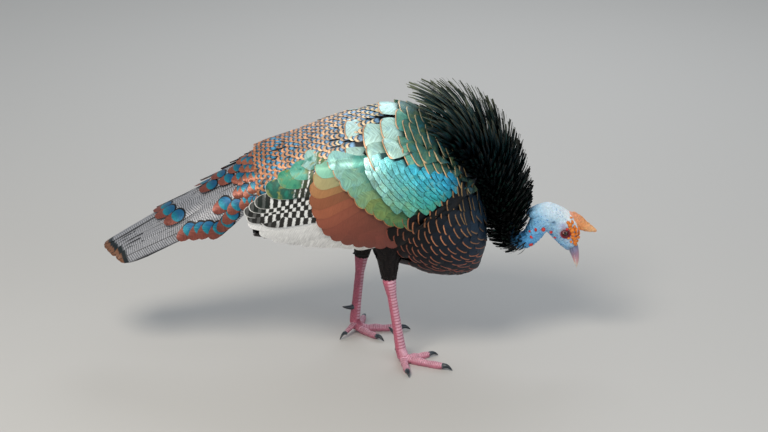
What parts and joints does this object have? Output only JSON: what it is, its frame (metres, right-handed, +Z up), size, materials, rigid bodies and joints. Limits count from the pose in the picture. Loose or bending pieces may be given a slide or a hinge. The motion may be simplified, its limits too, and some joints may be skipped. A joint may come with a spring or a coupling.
{
  "type": "ocellated turkey",
  "caption": "Life-size still model of a cock ocellated turkey that feeds with its neck arched down and its ruff raised, standing on both feet.",
  "frame": {"origin": "on the floor, below the middle of the whole bird", "axes": "+X the way the bird faces, +Y to its left, +Z up"},
  "size_m": [0.7633, 0.2529, 0.4319],
  "materials": {
    "body_plumage": "glossy dark green and blue contour feathers with copper and buff edges",
    "tail_covert_plumage": "coverts with blue eye spots and copper tips",
    "tail_plumage": "grey, finely vermiculated tail feathers",
    "wing_plumage": "bronze green and copper wing feathers, barred white behind",
    "ruff_plumage": "near black hackles with a green and teal sheen",
    "bare_skin": "bare pale blue skin",
    "caruncle": "soft orange caruncle",
    "bill_horn": "horn, grey at the base and paler at the tip",
    "eye": "wet dark brown eye",
    "leg_scale": "pink red scaled skin with pale scutes",
    "claw_horn": "dark grey horn"
  },
  "bodies": {
    "root": {"torso": "body_plumage", "tail_coverts": "tail_covert_plumage", "tail_feathers": "tail_plumage", "wing_right": "wing_plumage", "wing_left": "wing_plumage", "neck_ruff": "ruff_plumage", "neck_skin": "bare_skin", "head": "bare_skin", "snood": "caruncle", "bill_upper": "bill_horn", "bill_lower": "bill_horn", "eye_right": "eye", "eye_left": "eye", "thigh_right": "body_plumage", "thigh_left": "body_plumage", "shank_right": "leg_scale", "shank_left": "leg_scale", "foot_right": "leg_scale", "foot_left": "leg_scale", "spur_right": "claw_horn", "spur_left": "claw_horn", "claw_inner_right": "claw_horn", "claw_middle_right": "claw_horn", "claw_outer_right": "claw_horn", "claw_hind_right": "claw_horn", "claw_inner_left": "claw_horn", "claw_middle_left": "claw_horn", "claw_outer_left": "claw_horn", "claw_hind_left": "claw_horn"}
  },
  "joints": []
}
